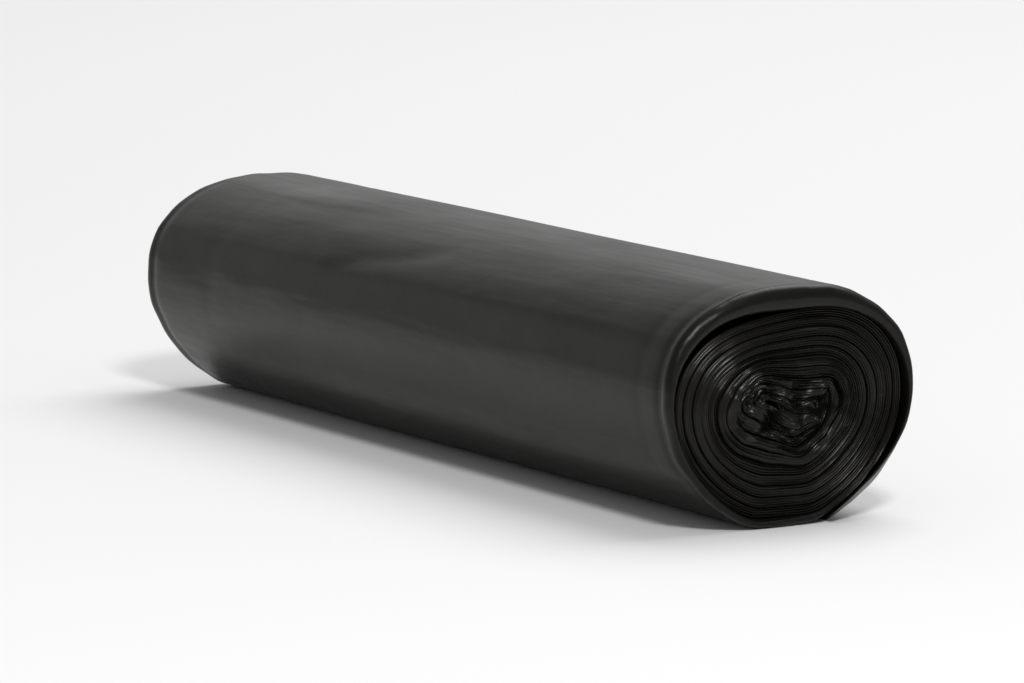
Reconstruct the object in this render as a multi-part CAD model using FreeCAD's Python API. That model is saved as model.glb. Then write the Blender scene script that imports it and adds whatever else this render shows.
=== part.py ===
"""Bin bag roll: a long strip of folded black polythene film, wound on itself without a core.

The strip is one piece of film from its crumpled inner end to its tail, so the roll is one
solid. It lies on its side on a small flat spot, with its length along X and +Z up. The end
that shows its turns best is at +X, and from there the film winds clockwise to its tail.
"""
import FreeCAD
import Part
import math
import os

# Driving sizes of the strip, in millimetres
STRIP_WIDTH = 264.0        # folded film from edge fold to edge fold, along X
BUNDLE = 2.15              # thickness of the folded film, all its layers pressed together
TURN_GAP = 0.25            # air between one turn and the next
TURNS = 12.0               # turns from the closed centre to the tail
FOLD_DEPTH = 0.9           # how far the round edge fold reaches in from the strip's edge
FOLD_SHOULDER = 0.28       # where the fold starts to turn over, as a part of the thickness

# Outline of the wound roll, as a radius round the axis: mean, egg, oval and shoulders
OUTLINE_MEAN = 31.95
OUTLINE_EGG = 1.0          # more radius at the top than at the bottom
OUTLINE_OVAL = 1.9         # wider than it is high
OUTLINE_SHOULDERS = 1.35   # full upper shoulders and a narrower foot
AXIS_HEIGHT = 26.6         # from the surface it rests on up to the axis
FOOT_TRIM = 0.12           # skin taken off the foot to make the flat spot true
FLAT_BLEND = 0.35          # softness of the change from the round foot to the flat spot

# The closed centre, where the hole left by the winding rod has collapsed
SLIT_HALF = 6.0            # half length of the closed slit
SLIT_OPEN = 0.15           # half height of the closed slit
WAVE_HEIGHT = 2.7          # height of the folds that the collapse leaves
WAVE_LENGTH = 22.0         # from one fold to the next
WAVE_DIP = 4.5             # place across the roll of the deepest dip between them
WAVE_REACH = 4.2           # turns out from the centre at which the folds die away
CORE_SINK = 1.6            # how far the centre has slid away from the +X end
CORE_SINK_REACH = 3.0      # turns out from the centre over which that fades

# The outer wrap, which is looser than the rest and stands out at the +X end
TAIL_ANGLE = -68.0         # degrees from +Y towards +Z, seen from the +X end
TAIL_BUNDLE = 0.85         # thickness of the film at its tail, where the layers run out
TAIL_TAPER = 0.30          # turns over which it thins
TAIL_LIFT = 1.1            # how far the straight last run stands off the turn below
TAIL_RUN = 0.24            # turns in the straight last run
WRAP_STEP = 2.6            # how far the outer wrap stands out past the turns inside it
WRAP_STEP_TURNS = 0.45     # turns over which the film moves across to there
LOOSE_GAP = 2.0            # extra air under the outer wrap at the upper left
LOOSE_MIDDLE = 112.0       # degrees, middle of that loose stretch
LOOSE_SPAN = 200.0         # degrees, length of that loose stretch
DRIFT = 0.45               # slow side to side wander of the turns
DRIFT_TURNS = 3.7          # turns in one wander

FIRST_TURN = 0.5           # where the strip's inner end lies
COLUMNS = 480              # flat facets along the strip, shorter towards the centre
PLANE_ERROR = 1e-8         # four corners this near one plane make one flat face


def turn_angle(turn):
    """Angle in radians of a place on the strip, from +Y towards +Z."""
    return math.radians(TAIL_ANGLE) + 2.0 * math.pi * (TURNS - turn)


def smooth_step(value):
    """Rise from 0 to 1 with no corner."""
    held = min(1.0, max(0.0, value))
    return held * held * (3.0 - 2.0 * held)


def outline_radius(angle):
    """Radius of the roll's outline, round on top and flat at its foot."""
    radius = (
        OUTLINE_MEAN
        + OUTLINE_EGG * math.sin(angle)
        + OUTLINE_OVAL * math.cos(2.0 * angle)
        + OUTLINE_SHOULDERS * math.sin(3.0 * angle)
    )
    down = -math.sin(angle)
    if down < 0.3:
        return radius
    # the outer wrap passes the foot this many turns out, and lies level on the surface there
    around = (angle + math.pi) % (2.0 * math.pi) - math.pi
    foot_turn = TURNS - 1.0 + (math.radians(TAIL_ANGLE) - around) / (2.0 * math.pi)
    floor_radius = (AXIS_HEIGHT + FOOT_TRIM) * TURNS / foot_turn / down
    spare = (floor_radius - radius) / FLAT_BLEND
    if spare > 30.0:
        return radius
    return floor_radius - FLAT_BLEND * math.log(1.0 + math.exp(spare))


def loose_share(turn, angle):
    """How much the turns inside the outer wrap are drawn in where that wrap is loose."""
    if turn > TURNS - 1.0:
        return 0.0
    away = (math.degrees(angle) - LOOSE_MIDDLE + 180.0) % 360.0 - 180.0
    if abs(away) >= LOOSE_SPAN / 2.0:
        return 0.0
    return LOOSE_GAP / OUTLINE_MEAN * math.cos(math.pi * away / LOOSE_SPAN) ** 2


def section_point(depth, turn):
    """Place across the roll of a point `depth` turns out from the centre."""
    angle = turn_angle(turn)
    share = depth / TURNS * (1.0 - loose_share(turn, angle))
    radius = outline_radius(angle)
    y = ((1.0 - share) * SLIT_HALF + share * radius) * math.cos(angle)
    z = ((1.0 - share) * SLIT_OPEN + share * radius) * math.sin(angle)
    fading = math.exp(-((depth / WAVE_REACH) ** 2))
    z -= WAVE_HEIGHT * fading * math.cos(2.0 * math.pi * (y - WAVE_DIP) / WAVE_LENGTH)
    return y, z


def bundle_turns(turn):
    """Thickness of the strip, counted in turns, thinner at the tail."""
    taper = smooth_step((turn - TURNS + TAIL_TAPER) / TAIL_TAPER)
    thickness = BUNDLE + (TAIL_BUNDLE - BUNDLE) * taper
    return thickness / (BUNDLE + TURN_GAP)


def walls(turn):
    """Inner and outer wall of the strip across the roll at one place along it."""
    run = min(1.0, max(0.0, (turn - TURNS + TAIL_RUN) / TAIL_RUN))
    lift = TAIL_LIFT * math.sin(math.pi * run) ** 2 / (BUNDLE + TURN_GAP)
    inner_depth = turn - BUNDLE / (BUNDLE + TURN_GAP) + lift
    inner = section_point(inner_depth, turn)
    outer = section_point(inner_depth + bundle_turns(turn), turn)
    return inner, outer


def side_shift(turn):
    """Sideways place of the strip: its centre has sunk and its outer wrap has moved to +X."""
    moved = smooth_step((turn - TURNS + 1.0) / WRAP_STEP_TURNS + 0.5)
    drift = DRIFT * math.sin(2.0 * math.pi * turn / DRIFT_TURNS) * (1.0 - moved)
    sink = CORE_SINK * math.exp(-((turn / CORE_SINK_REACH) ** 2))
    return WRAP_STEP * (moved - 1.0) + drift - sink


def strip_profile(turn):
    """The eight corners of the strip's section at one place, round by its own edge."""
    inner, outer = walls(turn)
    near = STRIP_WIDTH / 2.0 + side_shift(turn)
    far = near - STRIP_WIDTH

    def corner(x, across):
        y = inner[0] + (outer[0] - inner[0]) * across
        z = inner[1] + (outer[1] - inner[1]) * across
        return FreeCAD.Vector(x, y, z)

    return [
        corner(near - FOLD_DEPTH, 0.0),
        corner(near, FOLD_SHOULDER),
        corner(near, 1.0 - FOLD_SHOULDER),
        corner(near - FOLD_DEPTH, 1.0),
        corner(far + FOLD_DEPTH, 1.0),
        corner(far, 1.0 - FOLD_SHOULDER),
        corner(far, FOLD_SHOULDER),
        corner(far + FOLD_DEPTH, 0.0),
    ]


def flat_faces(corners):
    """One flat face on three or four corners, or two where four aren't in one plane."""
    first, second, third, fourth = corners
    normal = (second - first).cross(fourth - first).normalize()
    if abs((third - first).dot(normal)) < PLANE_ERROR:
        return [Part.Face(Part.makePolygon(corners + [first]))]
    return [
        Part.Face(Part.makePolygon([first, second, third, first])),
        Part.Face(Part.makePolygon([first, third, fourth, first])),
    ]


def wound_strip():
    """The whole roll as one solid, before its foot is trimmed flat."""
    start = (FIRST_TURN / TURNS) ** 1.5
    places = [start + (1.0 - start) * column / COLUMNS for column in range(COLUMNS + 1)]
    profiles = [strip_profile(TURNS * place ** (2.0 / 3.0)) for place in places]
    faces = []
    for profile, following in zip(profiles, profiles[1:]):
        for corner in range(len(profile)):
            beside = (corner + 1) % len(profile)
            faces += flat_faces([profile[corner], profile[beside], following[beside], following[corner]])
    for cut_end in (profiles[0], profiles[-1]):
        faces.append(Part.Face(Part.makePolygon(cut_end + [cut_end[0]])))
    shell = Part.Shell(faces)
    shell.sewShape()
    solid = Part.Solid(shell)
    if solid.Volume < 0.0:
        solid.reverse()
    return solid


def bin_bag_roll():
    """The wound strip with its foot trimmed level, standing on z = 0 about its middle."""
    roll = wound_strip()
    size = 2.0 * STRIP_WIDTH
    above = Part.makeBox(size, size, size, FreeCAD.Vector(-size / 2.0, -size / 2.0, -AXIS_HEIGHT))
    roll = roll.common(above)
    roll = roll.Solids[0]
    box = roll.optimalBoundingBox()
    roll.translate(FreeCAD.Vector(-box.Center.x, -box.Center.y, AXIS_HEIGHT))
    return roll


os.makedirs("parts", exist_ok=True)
shape = bin_bag_roll()
shape.exportStep("parts/bin_bag_roll.step")
full = shape.optimalBoundingBox()
print(
    "bin_bag_roll: valid",
    shape.isValid(),
    "solids",
    len(shape.Solids),
    "faces",
    len(shape.Faces),
    "volume cm3",
    round(shape.Volume / 1000.0, 1),
    "box",
    [round(value, 2) for value in (full.XLength, full.YLength, full.ZLength)],
)
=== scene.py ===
# %% [markdown]
# A roll of bin bags is one long strip of thin black polythene. Each bag is folded flat
# lengthwise into a narrow, thick strip, and the strip is wound up on a rod that is then
# pulled out. Nothing holds the hole open, so the middle closes into crumpled folds.
# The plan here is to work the way the factory does: model the flat strip first, with the
# folds along its two edges, and then wind it.

# %% Load the measured frame
import math

import bmesh
import bpy
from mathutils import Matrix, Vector, noise


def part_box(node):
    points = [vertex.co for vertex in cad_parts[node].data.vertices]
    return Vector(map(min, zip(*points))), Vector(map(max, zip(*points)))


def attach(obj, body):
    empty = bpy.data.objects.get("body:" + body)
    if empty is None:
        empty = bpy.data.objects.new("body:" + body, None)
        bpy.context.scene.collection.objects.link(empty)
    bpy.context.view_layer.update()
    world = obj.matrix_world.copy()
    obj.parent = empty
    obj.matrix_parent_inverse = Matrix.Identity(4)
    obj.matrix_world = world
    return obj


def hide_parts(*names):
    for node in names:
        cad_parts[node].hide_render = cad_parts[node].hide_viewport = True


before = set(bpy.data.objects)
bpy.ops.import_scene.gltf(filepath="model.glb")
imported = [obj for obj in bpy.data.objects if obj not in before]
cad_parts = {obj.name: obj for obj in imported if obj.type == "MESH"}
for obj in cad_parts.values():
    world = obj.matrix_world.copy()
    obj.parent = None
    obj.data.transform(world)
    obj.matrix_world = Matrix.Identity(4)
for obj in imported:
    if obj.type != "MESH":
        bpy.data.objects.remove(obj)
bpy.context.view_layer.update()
bpy.ops.object.select_all(action="DESELECT")
roll_low, roll_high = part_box("bin_bag_roll")
print("The roll is", [round((high - low) * 1000, 1) for low, high in zip(roll_low, roll_high)], "mm")

# %% [markdown]
# All sizes are in metres, so a millimetre has a name. The sizes of the strip and of the
# wound outline are the ones that the solid part has, so that the two agree from outside.
# Only the air between the turns differs: they lie closer together here, as real film does,
# and the gap under the loose outer wrap is wider, as dark as the photograph shows it.
# Plain numbers in this list count turns of the winding.

# %% Sizes of the strip and of the roll
MM = 0.001

# the folded strip and its turns
STRIP_WIDTH = 264.0 * MM
HALF = STRIP_WIDTH / 2.0
BUNDLE = 2.15 * MM
TURN_GAP = 0.25 * MM
TURNS = 12.0
FIRST_TURN = 0.5

# the outline, as a radius round the axis, and the flat that it lies on
OUTLINE_MEAN = 31.95 * MM
OUTLINE_EGG = 1.0 * MM
OUTLINE_OVAL = 1.9 * MM
OUTLINE_SHOULDERS = 1.35 * MM
AXIS_HEIGHT = 26.6 * MM
FOOT_TRIM = 0.12 * MM
FLAT_BLEND = 0.35 * MM

# the closed slit in the middle and the waves of the film round it
SLIT_HALF = 6.0 * MM
SLIT_OPEN = 0.15 * MM
WAVE_HEIGHT = 2.7 * MM
WAVE_LENGTH = 22.0 * MM
WAVE_DIP = 4.5 * MM
WAVE_REACH = 4.2

# the tail, the loose outer wrap, and how far the turns have moved sideways
TAIL_ANGLE = math.radians(-68.0)
TAIL_BUNDLE = 0.85 * MM
TAIL_TAPER = 0.30
TAIL_LIFT = 1.1 * MM
TAIL_RUN = 0.24
WRAP_STEP = 2.6 * MM
WRAP_STEP_TURNS = 0.45
LOOSE_GAP = 5.2 * MM
LOOSE_MIDDLE = math.radians(112.0)
LOOSE_SPAN = math.radians(200.0)
DRIFT = 0.45 * MM
DRIFT_TURNS = 3.7
CORE_SINK = 1.6 * MM
CORE_SINK_REACH = 3.0
print(TURNS, "turns of a strip", round(STRIP_WIDTH / MM), "mm wide,", round(BUNDLE / MM, 2), "mm thick")

# %% [markdown]
# The flat strip starts as a cube, scaled to the strip's width and thickness. Along the
# strip, 100 mm stand for one turn, whatever that turn's real length will be: the winding
# formula below takes care of that. A cube is enough because everything that matters
# happens along its two long edges, where the layers of film turn over.

# %% The blank for the strip
TURN_LENGTH = 100.0 * MM


def start_editing(thing, pick):
    """Open a mesh for editing, with nothing selected, to pick vertices, edges or faces."""
    bpy.context.view_layer.objects.active = thing
    bpy.ops.object.mode_set(mode="EDIT")
    bpy.ops.mesh.select_mode(type=pick)
    bpy.ops.mesh.select_all(action="DESELECT")
    return bmesh.from_edit_mesh(thing.data)


def select_where(thing, elements, test):
    """Select the vertices, edges or faces that pass a test and nothing else, and count them."""
    bpy.ops.mesh.select_all(action="DESELECT")
    chosen = [element for element in elements if test(element)]
    for element in chosen:
        element.select_set(True)
    bmesh.update_edit_mesh(thing.data)
    return len(chosen)


bpy.ops.mesh.primitive_cube_add(size=1.0)
roll = bpy.context.object
roll.name = "roll_of_film"
start_editing(roll, "VERT")
bpy.ops.mesh.select_all(action="SELECT")
wound = TURNS - FIRST_TURN
bpy.ops.transform.resize(value=(STRIP_WIDTH, wound * TURN_LENGTH, BUNDLE))
bpy.ops.transform.translate(value=(0.0, (FIRST_TURN + wound / 2.0) * TURN_LENGTH, BUNDLE / 2.0))
bpy.ops.object.mode_set(mode="OBJECT")
print("Blank strip", [round(size / MM, 1) for size in roll.dimensions], "mm")

# %% [markdown]
# Seen from its end, a turn of the roll isn't one smooth band. A bag is folded several
# times, and each fold shows as its own rounded ridge with a dark line beside it. So the
# strip's edges are cut into lines through the thickness, every second line is pushed in
# to make a valley, and the crests left between are bevelled round. They also lean a little
# to the inner side, as folds do that were wound tight, so that light from the upper left
# catches the outer slopes more than the inner ones.

# %% Fold ridges along both edges of the strip
LAYERS = 4
LINES = 2 * LAYERS
VALLEY = 0.27 * MM
SHOULDER_DROP = 0.14 * MM
CREST_ROUND = 0.10 * MM
CREST_LEAN = 0.08 * MM


def along(edge, axis):
    """True for an edge that runs along one axis: 0 across the width, 1 along, 2 through."""
    step = edge.verts[1].co - edge.verts[0].co
    return step.length > 0 and abs(step[axis]) > 0.999 * step.length


def line_number(vert):
    """Which line through the thickness a vertex lies on, counted from the inside."""
    return round(vert.co.z / BUNDLE * LINES)


strip = start_editing(roll, "EDGE")
select_where(roll, strip.edges, lambda edge: along(edge, 2))
bpy.ops.mesh.subdivide(number_cuts=LINES - 1)
bpy.ops.mesh.select_mode(type="VERT")
strip = bmesh.from_edit_mesh(roll.data)
for side in (1.0, -1.0):
    select_where(roll, strip.verts, lambda vert: vert.co.x * side > 0 and line_number(vert) % 2 == 0)
    bpy.ops.transform.translate(value=(-side * VALLEY, 0.0, 0.0))
    strip = bmesh.from_edit_mesh(roll.data)
    select_where(roll, strip.verts, lambda vert: vert.co.x * side > 0 and line_number(vert) in (0, LINES))
    bpy.ops.transform.translate(value=(-side * SHOULDER_DROP, 0.0, 0.0))
    strip = bmesh.from_edit_mesh(roll.data)
select_where(roll, strip.verts, lambda vert: line_number(vert) % 2 == 1)
bpy.ops.transform.translate(value=(0.0, 0.0, -CREST_LEAN))
bpy.ops.mesh.select_mode(type="EDGE")
strip = bmesh.from_edit_mesh(roll.data)
crests = select_where(
    roll, strip.edges, lambda edge: along(edge, 1) and line_number(edge.verts[0]) % 2 == 1
)
bpy.ops.mesh.bevel(offset=CREST_ROUND, segments=2, affect="EDGES")
bpy.ops.object.mode_set(mode="OBJECT")
print("Crests rounded:", crests, "with", len(roll.data.vertices), "vertices on the two cut ends")

# %% [markdown]
# The strip now needs many short lengths, because each length stays straight when it is
# wound. Subdividing only the edges that run along the strip cuts it across, like slicing
# a loaf. That takes two rounds, because one call makes a hundred cuts at most, and the
# edges are selected anew between them. The last turn is also divided across the width,
# because its walls are the side of the roll and have to carry soft creases.

# %% Cut the strip into short lengths
HALF_TURN_PIECES = 60
WALL_ROWS = 100
OUTER_TURNS = 1.2

outer_from = (TURNS - OUTER_TURNS) * TURN_LENGTH
strip = start_editing(roll, "EDGE")
for pieces in (round(2 * wound), HALF_TURN_PIECES):
    select_where(roll, strip.edges, lambda edge: along(edge, 1))
    bpy.ops.mesh.subdivide(number_cuts=pieces - 1)
    strip = bmesh.from_edit_mesh(roll.data)
select_where(roll, strip.edges, lambda edge: along(edge, 0) and edge.verts[0].co.y > outer_from)
bpy.ops.mesh.subdivide(number_cuts=WALL_ROWS - 1)
bpy.ops.object.mode_set(mode="OBJECT")
print("The strip has", len(roll.data.vertices), "vertices and", len(roll.data.polygons), "faces")

# %% [markdown]
# Winding is a formula, because no operator winds a strip into a roll that is flat where
# it lies. A place along the strip is a number of turns, and that gives an angle. The
# outline is a circle with three small waves added to its radius: one makes it higher on
# top than below, one makes it wider than high, and one fills its upper shoulders. At the
# foot the radius can't pass the surface that the roll lies on, and bends into it softly.

# %% The angle and the outline
FOOT_FROM = 0.3
WELL_CLEAR = 30.0


def turn_angle(turn):
    """Angle of a place on the strip, from +Y towards +Z."""
    return TAIL_ANGLE + 2.0 * math.pi * (TURNS - turn)


def smooth_step(value):
    """Rise from 0 to 1 with no corner."""
    held = min(1.0, max(0.0, value))
    return held * held * (3.0 - 2.0 * held)


def arc_window(angle, middle, span):
    """1 in the middle of a stretch round the roll, falling smoothly to 0 at its ends."""
    away = (angle - middle + math.pi) % (2.0 * math.pi) - math.pi
    if abs(away) >= span / 2.0:
        return 0.0
    return math.cos(math.pi * away / span) ** 2


def outline_radius(angle):
    """Radius of the outline, round on top and flat at its foot."""
    radius = (
        OUTLINE_MEAN
        + OUTLINE_EGG * math.sin(angle)
        + OUTLINE_OVAL * math.cos(2.0 * angle)
        + OUTLINE_SHOULDERS * math.sin(3.0 * angle)
    )
    down = -math.sin(angle)
    if down < FOOT_FROM:
        return radius
    around = (angle + math.pi) % (2.0 * math.pi) - math.pi
    foot_turn = TURNS - 1.0 + (TAIL_ANGLE - around) / (2.0 * math.pi)
    floor_radius = (AXIS_HEIGHT + FOOT_TRIM) * TURNS / foot_turn / down
    spare = (floor_radius - radius) / FLAT_BLEND
    if spare > WELL_CLEAR:
        return radius
    return floor_radius - FLAT_BLEND * math.log(1.0 + math.exp(spare))


print("Radius at the top", round(outline_radius(math.radians(90.0)) / MM, 2), "mm")

# %% [markdown]
# The number of turns also gives a distance from the middle. Near the middle the path
# follows the flat slit that is left when the rod's hole closes, and it ripples, because
# film that was wound round a rod is too long for a slit. Further out it follows the
# outline. Under the outer wrap all turns are drawn in, on the side where that wrap is
# loose. The strip also moves sideways as it is wound: the middle has sunk in at one end,
# and the outer wrap stands out there.

# %% The path of the strip
SEEN_GAP = 0.04 * MM
SNUG_TURNS = 1.4
OUTER_EASING = 0.4
PATH_SAMPLES = 4000


def section_point(depth, turn):
    """Place across the roll of a point that many turns out from the middle."""
    angle = turn_angle(turn)
    share = depth / TURNS
    if turn <= TURNS - 1.0:
        share *= 1.0 - LOOSE_GAP / OUTLINE_MEAN * arc_window(angle, LOOSE_MIDDLE, LOOSE_SPAN)
    radius = outline_radius(angle)
    y = ((1.0 - share) * SLIT_HALF + share * radius) * math.cos(angle)
    z = ((1.0 - share) * SLIT_OPEN + share * radius) * math.sin(angle)
    fading = math.exp(-((depth / WAVE_REACH) ** 2))
    z -= WAVE_HEIGHT * fading * math.cos(2.0 * math.pi * (y - WAVE_DIP) / WAVE_LENGTH)
    return y, z


def strip_depths(turn):
    """Depths of the strip's inner and outer wall at one place, in turns."""
    pitch = BUNDLE + TURN_GAP
    taper = smooth_step((turn - TURNS + TAIL_TAPER) / TAIL_TAPER)
    loosened = smooth_step((turn - TURNS + SNUG_TURNS) / OUTER_EASING)
    snug = BUNDLE + (TURN_GAP - SEEN_GAP) * (1.0 - loosened)
    thickness = snug + (TAIL_BUNDLE - snug) * taper
    run = min(1.0, max(0.0, (turn - TURNS + TAIL_RUN) / TAIL_RUN))
    inner = turn - BUNDLE / pitch + TAIL_LIFT / pitch * math.sin(math.pi * run) ** 2
    return inner, inner + thickness / pitch


def side_shift(turn):
    """Sideways place of the strip: its middle has sunk and its outer wrap moved to +X."""
    moved = smooth_step((turn - TURNS + 1.0) / WRAP_STEP_TURNS + 0.5)
    drift = DRIFT * math.sin(2.0 * math.pi * turn / DRIFT_TURNS) * (1.0 - moved)
    sink = CORE_SINK * math.exp(-((turn / CORE_SINK_REACH) ** 2))
    return WRAP_STEP * (moved - 1.0) + drift - sink


samples = [FIRST_TURN + wound * step / PATH_SAMPLES for step in range(PATH_SAMPLES + 1)]
shifts = [side_shift(turn) for turn in samples]
widths = [section_point(strip_depths(turn)[1], turn)[0] for turn in samples]
AXIS_X = (roll_low[0] + roll_high[0]) / 2.0 - (max(shifts) + min(shifts)) / 2.0
AXIS_Y = (roll_low[1] + roll_high[1]) / 2.0 - (max(widths) + min(widths)) / 2.0
print("Axis at x", round(AXIS_X / MM, 2), "y", round(AXIS_Y / MM, 2), "z", round(AXIS_HEIGHT / MM, 2), "mm")

# %% [markdown]
# Real film never winds perfectly. Each fold wanders a little in and out at the ends, short
# buckles run through several folds at once, and the middle is crumpled. Smooth noise gives
# all of that, if each kind is fed with the coordinate it should follow: the way round for
# a fold that wanders, the place on the end face for a buckle that crosses folds. A seed
# is only another place in the same noise, so that no two folds or ends are alike.

# %% Noise for the crumpled ends
FOLD_WANDER = 0.13 * MM
WANDER_SIZE = 9.0 * MM
WANDER_FOLD_SEED = 7.3
WANDER_START = 0.5
WANDER_END_SEED = 31.7
BUCKLE = 0.12 * MM
BUCKLE_SIZE = 3.2 * MM
BUCKLE_END_SEED = 5.1
BUCKLE_FOLD_SEED = 0.35
CRUMPLE = 2.2 * MM
CRUMPLE_SIZE = 5.2 * MM
CRUMPLE_FLATNESS = 1.6
CRUMPLE_REACH = 4.4
CRUMPLE_END_SEED = 17.0
CRUMPLE_START = 3.3
SQUEEZE = 0.9 * MM
SQUEEZE_SIZE = 6.5 * MM
SQUEEZE_END_SEED = 3.1
SQUEEZE_STARTS = (9.2, 21.4)


def smooth_noise(x, y, z):
    """Smooth noise from -1 to 1, the same on every run."""
    return noise.noise(Vector((x, y, z)), noise_basis="PERLIN_ORIGINAL")


def crumpled(depth):
    """1 in the middle of the roll, fading to 0 in the well wound turns."""
    return math.exp(-((depth / CRUMPLE_REACH) ** 3))


def fold_wander(turn, depth, fold, end):
    """How far one fold stands out as it wanders on its way round."""
    around = turn_angle(turn) * max(depth, 1.0) * (BUNDLE + TURN_GAP)
    seed = fold * WANDER_FOLD_SEED + WANDER_START
    return FOLD_WANDER * smooth_noise(around / WANDER_SIZE, seed, end * WANDER_END_SEED)


def buckle(y, z, fold, end):
    """How far a short buckle makes the folds stand out at a place on the end."""
    seed = end * BUCKLE_END_SEED + fold * BUCKLE_FOLD_SEED
    return BUCKLE * smooth_noise(y / BUCKLE_SIZE, z / BUCKLE_SIZE, seed)


def crumple(y, z, end):
    """How far the crumpled middle stands out at a place on the end."""
    seed = end * CRUMPLE_END_SEED + CRUMPLE_START
    return CRUMPLE * smooth_noise(y / CRUMPLE_SIZE, z / CRUMPLE_SIZE * CRUMPLE_FLATNESS, seed)


def squeezed(y, z, depth, end):
    """Crush the middle sideways a little, so that its folds aren't all alike."""
    mess = crumpled(depth)
    dy, dz = [
        SQUEEZE * mess * smooth_noise(y / SQUEEZE_SIZE, z / SQUEEZE_SIZE, end * SQUEEZE_END_SEED + start)
        for start in SQUEEZE_STARTS
    ]
    return y + dy, z + dz


print("Folds wander", FOLD_WANDER / MM, "mm, and the middle is crumpled by", CRUMPLE / MM, "mm")

# %% [markdown]
# Noise can't put one bulge where the real roll has it, so a few soft bumps and hollows are
# placed one by one in the middle of the end that shows. Where a bump stands, one smooth layer
# of film covers the folds, so the valleys are filled and the wandering is calmed there.
# Near the largest bump the folds are drawn together. The far end, which the photograph
# doesn't show, has the same smooth places but no bumps, and a weaker crumple.

# %% Bulges in the middle of an end
FAR_SHARE = 0.6
CENTRE_BUMPS = (
    # place across the roll, height from the axis, radius, how far it stands out
    (-5.6 * MM, 1.0 * MM, 3.0 * MM, 3.8 * MM),
    (-2.7 * MM, -5.0 * MM, 2.2 * MM, -2.0 * MM),
    (-10.5 * MM, 3.0 * MM, 1.6 * MM, -1.6 * MM),
    (2.5 * MM, -3.6 * MM, 2.2 * MM, 2.4 * MM),
    (7.5 * MM, -2.2 * MM, 1.8 * MM, 1.8 * MM),
    (10.0 * MM, 4.2 * MM, 2.0 * MM, 2.2 * MM),
    (0.5 * MM, 4.2 * MM, 1.9 * MM, 2.0 * MM),
    (4.8 * MM, 1.2 * MM, 1.6 * MM, -1.6 * MM),
)
SMOOTH_REACH = 1.2
SMOOTH_SHARE = 0.9
MESSY_WANDER = 2.0
MESSY_BUCKLE = 1.0
PINCH_Y = -5.3 * MM
PINCH_Z = 2.0 * MM
PINCH_RADIUS = 4.0 * MM
PINCH = 0.55


def hill(y, z, bump_y, bump_z, radius):
    """1 on the top of a round soft hill, falling to 0 round it."""
    return math.exp(-((y - bump_y) ** 2 + (z - bump_z) ** 2) / radius ** 2)


def smooth_place(y, z):
    """1 on top of a bulge in the middle of an end, where one smooth layer covers the folds."""
    share = 0.0
    for bump_y, bump_z, radius, height in CENTRE_BUMPS:
        if height > 0.0:
            share += hill(y, z, bump_y, bump_z, SMOOTH_REACH * radius)
    return min(1.0, share)


def end_relief(y, z, turn, across, depth, end):
    """How far a point of an end stands out, for a place on the end face."""
    fold = math.floor(min(0.999, across) * LAYERS)
    mess = crumpled(depth)
    middle = crumple(y, z, end)
    if end > 0.0:
        for bump_y, bump_z, radius, height in CENTRE_BUMPS:
            middle += height * hill(y, z, bump_y, bump_z, radius)
    else:
        middle *= FAR_SHARE
    rough = fold_wander(turn, depth, fold, end) * (1.0 + MESSY_WANDER * mess)
    rough += buckle(y, z, fold, end) * (1.0 + MESSY_BUCKLE * mess)
    return rough * (1.0 - SMOOTH_SHARE * smooth_place(y, z)) + mess * middle


def pinched(y, z, share):
    """Draw the ends of the innermost folds together, near the largest bulge."""
    pull = share * PINCH * hill(y, z, PINCH_Y, PINCH_Z, PINCH_RADIUS)
    return y + (PINCH_Y - y) * pull, z + (PINCH_Z - z) * pull


print("Bumps and hollows in the middle of the near end:", len(CENTRE_BUMPS))

# %% [markdown]
# The side of the roll is the last turn's outer wall. It is nearly smooth, but film that
# is pulled tight over soft turns shows flat facets that meet in long straight lines, a few
# shallow slanting creases, puckers close to the ends, and a shallow neck where the wall
# comes to the nose of its edge. Each line is a segment on the unrolled wall, and the wall
# stands out by an amount that falls off away from it, which leaves a soft corner along the
# line.

# %% How the outer wall is creased
FACET = 0.28 * MM
FACET_LENGTH = 170.0 * MM
FACET_WIDTH = 15.0 * MM
FACET_SEED = 4.7
SMALL_FACET = 0.4 * FACET
SMALL_FACET_LENGTH = 50.0 * MM
SMALL_FACET_WIDTH = 20.0 * MM
SMALL_FACET_SEED = 11.3
PUCKER = 0.40 * MM
PUCKER_LENGTH = 14.0 * MM
PUCKER_WIDTH = 5.5 * MM
PUCKER_REACH = 9.0 * MM
PUCKER_SEED = 2.2
LINE_SOFT = 0.9 * MM
NECK_PLACE = 4.2 * MM
NECK_WIDTH = 1.3 * MM
NECK_DEPTH = 0.40 * MM
NECK_MIDDLE = math.radians(190.0)
NECK_SPAN = math.radians(220.0)
FOLD_LINES = (
    # start: mm along the roll and degrees round it, end: the same, height and reach in mm
    (-400.0, 153.0, 400.0, 149.0, 0.85, 6.5),
    (-22.0, 141.0, 300.0, 133.0, 0.42, 3.0),
    (-44.0, 152.0, 14.0, 131.0, -0.95, 2.4),
    (-400.0, 178.0, -20.0, 186.0, 0.25, 4.0),
    (10.0, 197.0, 400.0, 188.0, 0.32, 4.5),
    (-400.0, 98.0, 40.0, 112.0, 0.25, 5.0),
    (-400.0, 62.0, 400.0, 68.0, 0.45, 7.0),
    (-60.0, 33.0, 300.0, 22.0, 0.30, 5.0),
    (-300.0, -12.0, 70.0, -20.0, 0.30, 5.0),
    (22.0, 176.0, 96.0, 158.0, 0.30, 2.6),
    (-118.0, 163.0, -58.0, 178.0, -0.32, 2.6),
    (52.0, 126.0, 140.0, 108.0, 0.36, 3.0),
    (-96.0, 121.0, -20.0, 106.0, -0.34, 3.0),
    (70.0, 214.0, 150.0, 196.0, 0.28, 3.0),
)
RINGS = (
    # mm from the middle, along the roll: how deep and how wide in mm
    (119.0, 0.09, 1.6),
    (-96.0, 0.06, 3.0),
)


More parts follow.
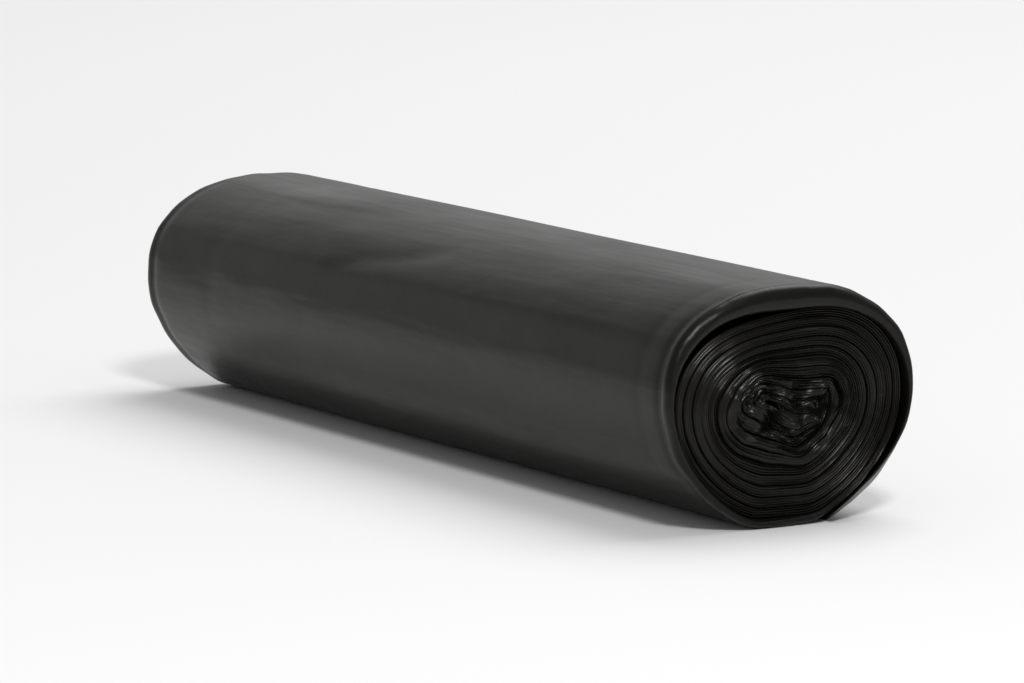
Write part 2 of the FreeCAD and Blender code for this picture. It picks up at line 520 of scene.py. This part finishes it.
def fold_line_relief(x, angle, line):
    """How far one soft line makes the wall stand out at a place."""
    start_x, start_degrees, end_x, end_degrees, height, reach = line
    run = (x / MM - start_x) / (end_x - start_x)
    if not 0.0 < run < 1.0:
        return 0.0
    line_angle = math.radians(start_degrees + (end_degrees - start_degrees) * run)
    away = ((angle - line_angle + math.pi) % (2.0 * math.pi) - math.pi) * OUTLINE_MEAN
    taper = smooth_step(4.0 * run * (1.0 - run))
    return height * MM * taper * math.exp(-math.hypot(away, LINE_SOFT) / (reach * MM))


def wall_relief(x, angle):
    """How far the outer wall stands out at a place on the side of the roll."""
    around = angle * OUTLINE_MEAN
    relief = FACET * smooth_noise(x / FACET_LENGTH, around / FACET_WIDTH, FACET_SEED)
    small = smooth_noise(x / SMALL_FACET_LENGTH, around / SMALL_FACET_WIDTH, SMALL_FACET_SEED)
    relief += SMALL_FACET * small
    to_end = HALF - abs(x)
    ripple = smooth_noise(x / PUCKER_LENGTH, around / PUCKER_WIDTH, PUCKER_SEED)
    relief += PUCKER * math.exp(-to_end / PUCKER_REACH) * ripple
    for line in FOLD_LINES:
        relief += fold_line_relief(x, angle, line)
    for place, depth, width in RINGS:
        relief -= depth * MM * math.exp(-(((x / MM) - place) / width) ** 2)
    neck = math.exp(-(((to_end - NECK_PLACE) / NECK_WIDTH) ** 2))
    return relief - NECK_DEPTH * neck * arc_window(angle, NECK_MIDDLE, NECK_SPAN)


print("Lines on the outer wall:", len(FOLD_LINES), "along it and", len(RINGS), "round it")

# %% [markdown]
# The outer wrap is looser than the rest, and its edge has no fold ridges: the film turns
# over in one smooth nose. So the ridges there are pushed onto a half-round shape. On top
# the lip puffs up, most of all at the +X end, where it hangs in front of the dark gap behind
# it. Low on the +Y side the edge is tucked in against the turns. The cut edge of the tail
# waves a little.

# %% The edge of the outer wrap
CORNER = VALLEY + SHOULDER_DROP
NOSE = 2.4 * MM
CORNER_SHARE = math.sqrt(1.0 - ((NOSE - CORNER) / NOSE) ** 2)
LIP_MIDDLE = math.radians(90.0)
LIP_SPAN = math.radians(180.0)
LIP_REACH = 8.0 * MM
LIP_STEEPNESS = 1.5
LIP_PUFF = 4.0 * MM
FAR_PUFF = 0.4
TUCK_MIDDLE = math.radians(-42.0)
TUCK_SPAN = math.radians(120.0)
TUCK_REACH = 4.0 * MM
TUCK = 2.4 * MM
TAIL_WAVE = 0.02
TAIL_WAVE_SIZE = 26.0 * MM
TAIL_WAVE_TURNS = 0.1
TAIL_WAVE_SEEDS = (8.8, 1.4)


def nose_place(from_edge, across):
    """The same point on a smooth half-round edge: distance from the edge and place across."""
    if from_edge <= CORNER:
        height = (2.0 * across - 1.0) * CORNER_SHARE
        return NOSE * (1.0 - math.sqrt(1.0 - height * height)), 0.5 + height / 2.0
    height = math.sqrt(1.0 - (max(0.0, NOSE - from_edge) / NOSE) ** 2)
    return from_edge, 0.5 + height * (across - 0.5)


def wrap_relief(x, across, angle, end):
    """How far the outer wrap stands out: its creased wall, puffed lip and tucked lower edge."""
    to_end = HALF - abs(x)
    reach = smooth_step(1.0 - to_end / LIP_REACH) ** LIP_STEEPNESS
    puff = LIP_PUFF * (1.0 if end > 0 else FAR_PUFF)
    relief = -puff * (1.0 - across) * reach * arc_window(angle, LIP_MIDDLE, LIP_SPAN)
    relief += max(0.0, 2.0 * across - 1.0) * wall_relief(x, angle)
    tucked = smooth_step(1.0 - to_end / TUCK_REACH)
    return relief - TUCK * tucked * arc_window(angle, TUCK_MIDDLE, TUCK_SPAN)


def tail_wave(x, turn):
    """How much of a turn the tail's cut edge is short of its straight line."""
    wave = 0.5 + smooth_noise(x / TAIL_WAVE_SIZE, *TAIL_WAVE_SEEDS)
    return TAIL_WAVE * wave * smooth_step((turn - TURNS + TAIL_WAVE_TURNS) / TAIL_WAVE_TURNS)


print("Nose", NOSE / MM, "mm deep, with a lip that puffs up by", LIP_PUFF / MM, "mm")

# %% [markdown]
# Now the strip is wound. For each vertex, the place along the strip gives the turn, the
# place through the thickness gives the depth, and the place across the width is the place
# along the roll. The rows of the wall are crowded towards both ends, where it curves most.
# The creases, the crumple and the bulges are then added to that place.

# %% Wind the strip
ROW_CROWDING = 0.42
END_DEPTH = 3.0 * MM
WRAP_CALM = 0.6
VALLEY_FILL = 0.97


def row_place(x):
    """Crowd the rows of the walls towards both ends, and leave the ridges as they are."""
    straight = HALF - CORNER
    if abs(x) > straight:
        return x
    share = x / straight
    return straight * ((1.0 + ROW_CROWDING) * share - ROW_CROWDING * share ** 3)


def wound_place(co):
    """Where a point of the flat strip goes when the strip is wound."""
    end = 1.0 if co.x > 0 else -1.0
    x = row_place(co.x)
    turn = co.y / TURN_LENGTH
    across = co.z / BUNDLE
    wrap = smooth_step((turn - TURNS + OUTER_TURNS) / OUTER_EASING)
    from_edge = HALF - abs(x)
    nose_edge, nose_across = nose_place(from_edge, across)
    x = end * (HALF - from_edge - wrap * (nose_edge - from_edge))
    across += wrap * (nose_across - across)
    turn -= tail_wave(x, turn)
    inner, outer = strip_depths(turn)
    depth = inner + (outer - inner) * across
    y, z = section_point(depth, turn)
    y, z = squeezed(y, z, depth, end)
    if wrap > 0.0:
        angle = turn_angle(turn)
        out = wrap * wrap_relief(x, across, angle, end)
        y += out * math.cos(angle)
        z += out * math.sin(angle)
    on_end = smooth_step((abs(x) - HALF + END_DEPTH) / END_DEPTH) * (1.0 - WRAP_CALM * wrap)
    if wrap == 0.0 and on_end > 0.0:
        x += VALLEY_FILL * end * from_edge * smooth_place(y, z)
    x += on_end * end * end_relief(y, z, turn, across, depth, end)
    y, z = pinched(y, z, on_end)
    x += side_shift(turn) + AXIS_X
    return Vector((x, y + AXIS_Y, max(0.0, z + AXIS_HEIGHT)))


for vertex in roll.data.vertices:
    vertex.co = wound_place(vertex.co)
roll.data.update()
print("Wound", len(roll.data.vertices), "vertices")

# %% [markdown]
# One operator makes sure that every face of the wound mesh points outwards. Smoothing by
# angle keeps the dark lines between the folds sharp and makes everything else soft. A mesh
# that is to be printed or simulated has to be closed, so its open edges are counted.

# %% Close and smooth the mesh
SHARP_FROM = math.radians(50.0)

start_editing(roll, "FACE")
bpy.ops.mesh.select_all(action="SELECT")
bpy.ops.mesh.normals_make_consistent(inside=False)
roll_mesh = bmesh.from_edit_mesh(roll.data)
open_edges = sum(1 for edge in roll_mesh.edges if not edge.is_manifold)
volume = roll_mesh.calc_volume(signed=True)
bpy.ops.object.mode_set(mode="OBJECT")
bpy.ops.object.shade_smooth_by_angle(angle=SHARP_FROM)
roll.data.calc_loop_triangles()
print("Open edges", open_edges, "and volume", round(volume * 1e6), "cm3")
print("Triangles:", len(roll.data.loop_triangles))

# %% [markdown]
# Black polythene looks black because of carbon in it, so its own colour is nearly nothing.
# All that is seen is the light on its surface. The film is satin: it spreads a reflection
# softly, and fine wrinkles break it up. So the material is a very dark base, a medium
# roughness that varies in cloudy patches, and bumps of four kinds, each laid over the one
# before: long faint streaks, sharp little creases, soft swells, and a fine wrinkle. All
# are drawn out along the roll, because that is how the folds of the bags run.

# %% The film's material
FILM_BLACK = (0.0036, 0.0034, 0.0028, 1.0)
FILM_TINT = (1.0, 0.99, 0.88, 1.0)
DRAWN_OUT = (0.35, 1.0, 1.0)
DRAWN_FAR_OUT = (0.08, 1.0, 1.0)
CLOUDS = {"Scale": 38.0, "Detail": 4.0, "Roughness": 0.6}
CLOUD_RANGE = {"From Min": 0.35, "From Max": 0.65, "To Min": 0.27, "To Max": 0.35}
STREAKS = {"Scale": 130.0, "Detail": 2.0, "Roughness": 0.5}
CREASES = {"Scale": 70.0, "Detail": 3.0, "Distortion": 0.5}
SWELLS = {"Scale": 90.0, "Detail": 2.0, "Roughness": 0.5}
WRINKLES = {"Scale": 420.0, "Detail": 5.0, "Roughness": 0.62}


def new_node(tree, kind, x, y, settings):
    """Add a node at a place in the graph and set its named inputs."""
    node = tree.nodes.new(kind)
    node.location = (x, y)
    for name, value in settings.items():
        node.inputs[name].default_value = value
    return node


def noise_on(tree, coordinates, y, settings):
    """A noise texture that reads one set of coordinates."""
    texture = new_node(tree, "ShaderNodeTexNoise", -780, y, settings)
    tree.links.new(coordinates.outputs["Vector"], texture.inputs["Vector"])
    return texture


def make_black_film():
    """Satin black polythene, finely wrinkled along the roll."""
    film = bpy.data.materials.new("black_polythene")
    film.use_nodes = True
    tree = film.node_tree
    surface = tree.nodes["Principled BSDF"]
    surface.inputs["Base Color"].default_value = FILM_BLACK
    surface.inputs["IOR"].default_value = 1.32
    surface.inputs["Specular IOR Level"].default_value = 0.5
    surface.inputs["Specular Tint"].default_value = FILM_TINT
    place = new_node(tree, "ShaderNodeTexCoord", -1200, 0, {})
    stretch = new_node(tree, "ShaderNodeMapping", -1000, 0, {"Scale": DRAWN_OUT})
    long_stretch = new_node(tree, "ShaderNodeMapping", -1000, -850, {"Scale": DRAWN_FAR_OUT})
    for mapping in (stretch, long_stretch):
        tree.links.new(place.outputs["Object"], mapping.inputs["Vector"])
    cloud = noise_on(tree, stretch, 150, CLOUDS)
    spread = new_node(tree, "ShaderNodeMapRange", -500, 150, CLOUD_RANGE)
    tree.links.new(cloud.outputs["Fac"], spread.inputs["Value"])
    tree.links.new(spread.outputs["Result"], surface.inputs["Roughness"])
    creases = noise_on(tree, stretch, -600, CREASES)
    creases.noise_type = "RIDGED_MULTIFRACTAL"
    layers = (
        # what makes the bump, its strength and how deep it is in metres
        (noise_on(tree, long_stretch, -850, STREAKS), 0.45, 0.0009),
        (creases, 0.6, 0.0004),
        (noise_on(tree, stretch, -350, SWELLS), 0.45, 0.0006),
        (noise_on(tree, stretch, -100, WRINKLES), 0.45, 0.00015),
    )
    below = None
    for number, (texture, strength, depth) in enumerate(layers):
        settings = {"Strength": strength, "Distance": depth}
        bump = new_node(tree, "ShaderNodeBump", 200 * number - 700, 220 * number - 850, settings)
        tree.links.new(texture.outputs["Fac"], bump.inputs["Height"])
        if below:
            tree.links.new(below.outputs["Normal"], bump.inputs["Normal"])
        below = bump
    tree.links.new(below.outputs["Normal"], surface.inputs["Normal"])
    return film


roll.data.materials.append(make_black_film())
print("Material:", roll.data.materials[0].name)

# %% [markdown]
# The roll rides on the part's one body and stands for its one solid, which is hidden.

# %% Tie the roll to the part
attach(roll, "root")
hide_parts("bin_bag_roll")
print("Tied to the part:", roll.name)

# %% [markdown]
# The roll lies on one large sheet of pale, matt paper, so that every view stands on it. It
# is large because a camera that looks over the roll sees far along the floor, and its edge
# would show as a line behind the roll.

# %% The floor
FLOOR_SIZE = 14.0
PAPER_WHITE = (0.86, 0.86, 0.86, 1.0)


def make_floor_material():
    """Matt, nearly white paper."""
    paper = bpy.data.materials.new("pale_paper")
    paper.use_nodes = True
    surface = paper.node_tree.nodes["Principled BSDF"]
    surface.inputs["Base Color"].default_value = PAPER_WHITE
    surface.inputs["Roughness"].default_value = 0.9
    surface.inputs["Specular IOR Level"].default_value = 0.2
    return paper


bpy.ops.mesh.primitive_plane_add(size=FLOOR_SIZE)
floor = bpy.context.object
floor.name = "floor"
floor.data.materials.append(make_floor_material())
print("Floor", FLOOR_SIZE, "m square")

# %% [markdown]
# Black film shows only what it reflects, so each lamp has a task. The wide one overhead
# lights the floor, and stands behind the roll, so that the roll's shadow falls towards the
# camera and darkens its lower side. The one beyond the far end is what the upper side
# reflects as a light band, and the small low one beside it carries the band on down the
# side. The smallest, high before the near end, glints on the ridges of the turns, in two
# opposite sectors, as a lamp does on a gramophone record. Even grey surroundings soften
# all of it.

# %% Lamps and surroundings
LAMP_AIM = Vector((0.0, 0.0, 0.03))
SURROUNDINGS = (0.32, 0.32, 0.32, 1.0)


def add_softbox(name, place, width, height, power):
    """A rectangular lamp at a place, turned to face the roll."""
    bpy.ops.object.light_add(type="AREA", location=place)
    lamp = bpy.context.object
    lamp.name = name
    lamp.data.shape = "RECTANGLE"
    lamp.data.size = width
    lamp.data.size_y = height
    lamp.data.energy = power
    lamp.rotation_euler = (LAMP_AIM - Vector(place)).to_track_quat("-Z", "Y").to_euler()
    print(name, "of", power, "watts")


add_softbox("top_softbox", (-0.5, 1.2, 2.2), 2.0, 2.0, 42.0)
add_softbox("band_softbox", (-1.7, 0.4, 0.72), 1.8, 1.1, 2.0)
add_softbox("side_softbox", (-1.55, -1.0, 0.45), 0.9, 0.7, 0.7)
add_softbox("end_softbox", (1.30, -0.42, 1.25), 0.28, 0.28, 15.0)

world = bpy.data.worlds.new("studio")
bpy.context.scene.world = world
world.use_nodes = True
world.node_tree.nodes["Background"].inputs["Color"].default_value = SURROUNDINGS
world.node_tree.nodes["Background"].inputs["Strength"].default_value = 1.0

# %% [markdown]
# The camera stands where the photograph's did: well round towards the end of the roll and
# a little above it, six times the roll's length away, with a long lens. Far away with a
# long lens is what keeps the two ends so nearly alike in size.

# %% Camera at the photograph's angle
CAMERA_AZIMUTH = math.radians(60.5)
CAMERA_ELEVATION = math.radians(7.9)
CAMERA_DISTANCE = 6.1 * STRIP_WIDTH
CAMERA_TARGET = Vector((0.004, 0.0, 0.027))
LENS = 232.0
SENSOR_WIDTH = 36.0
FARTHEST_SEEN = 50.0

towards = Vector((
    math.sin(CAMERA_AZIMUTH) * math.cos(CAMERA_ELEVATION),
    -math.cos(CAMERA_AZIMUTH) * math.cos(CAMERA_ELEVATION),
    math.sin(CAMERA_ELEVATION),
))
bpy.ops.object.camera_add(location=CAMERA_TARGET + towards * CAMERA_DISTANCE)
camera = bpy.context.object
camera.rotation_euler = (-towards).to_track_quat("-Z", "Y").to_euler()
camera.data.lens = LENS
camera.data.sensor_width = SENSOR_WIDTH
camera.data.clip_end = FARTHEST_SEEN
bpy.context.scene.camera = camera
bpy.context.scene.view_settings.view_transform = "Standard"
print("Camera", round(CAMERA_DISTANCE, 2), "m away, lens", LENS, "mm")
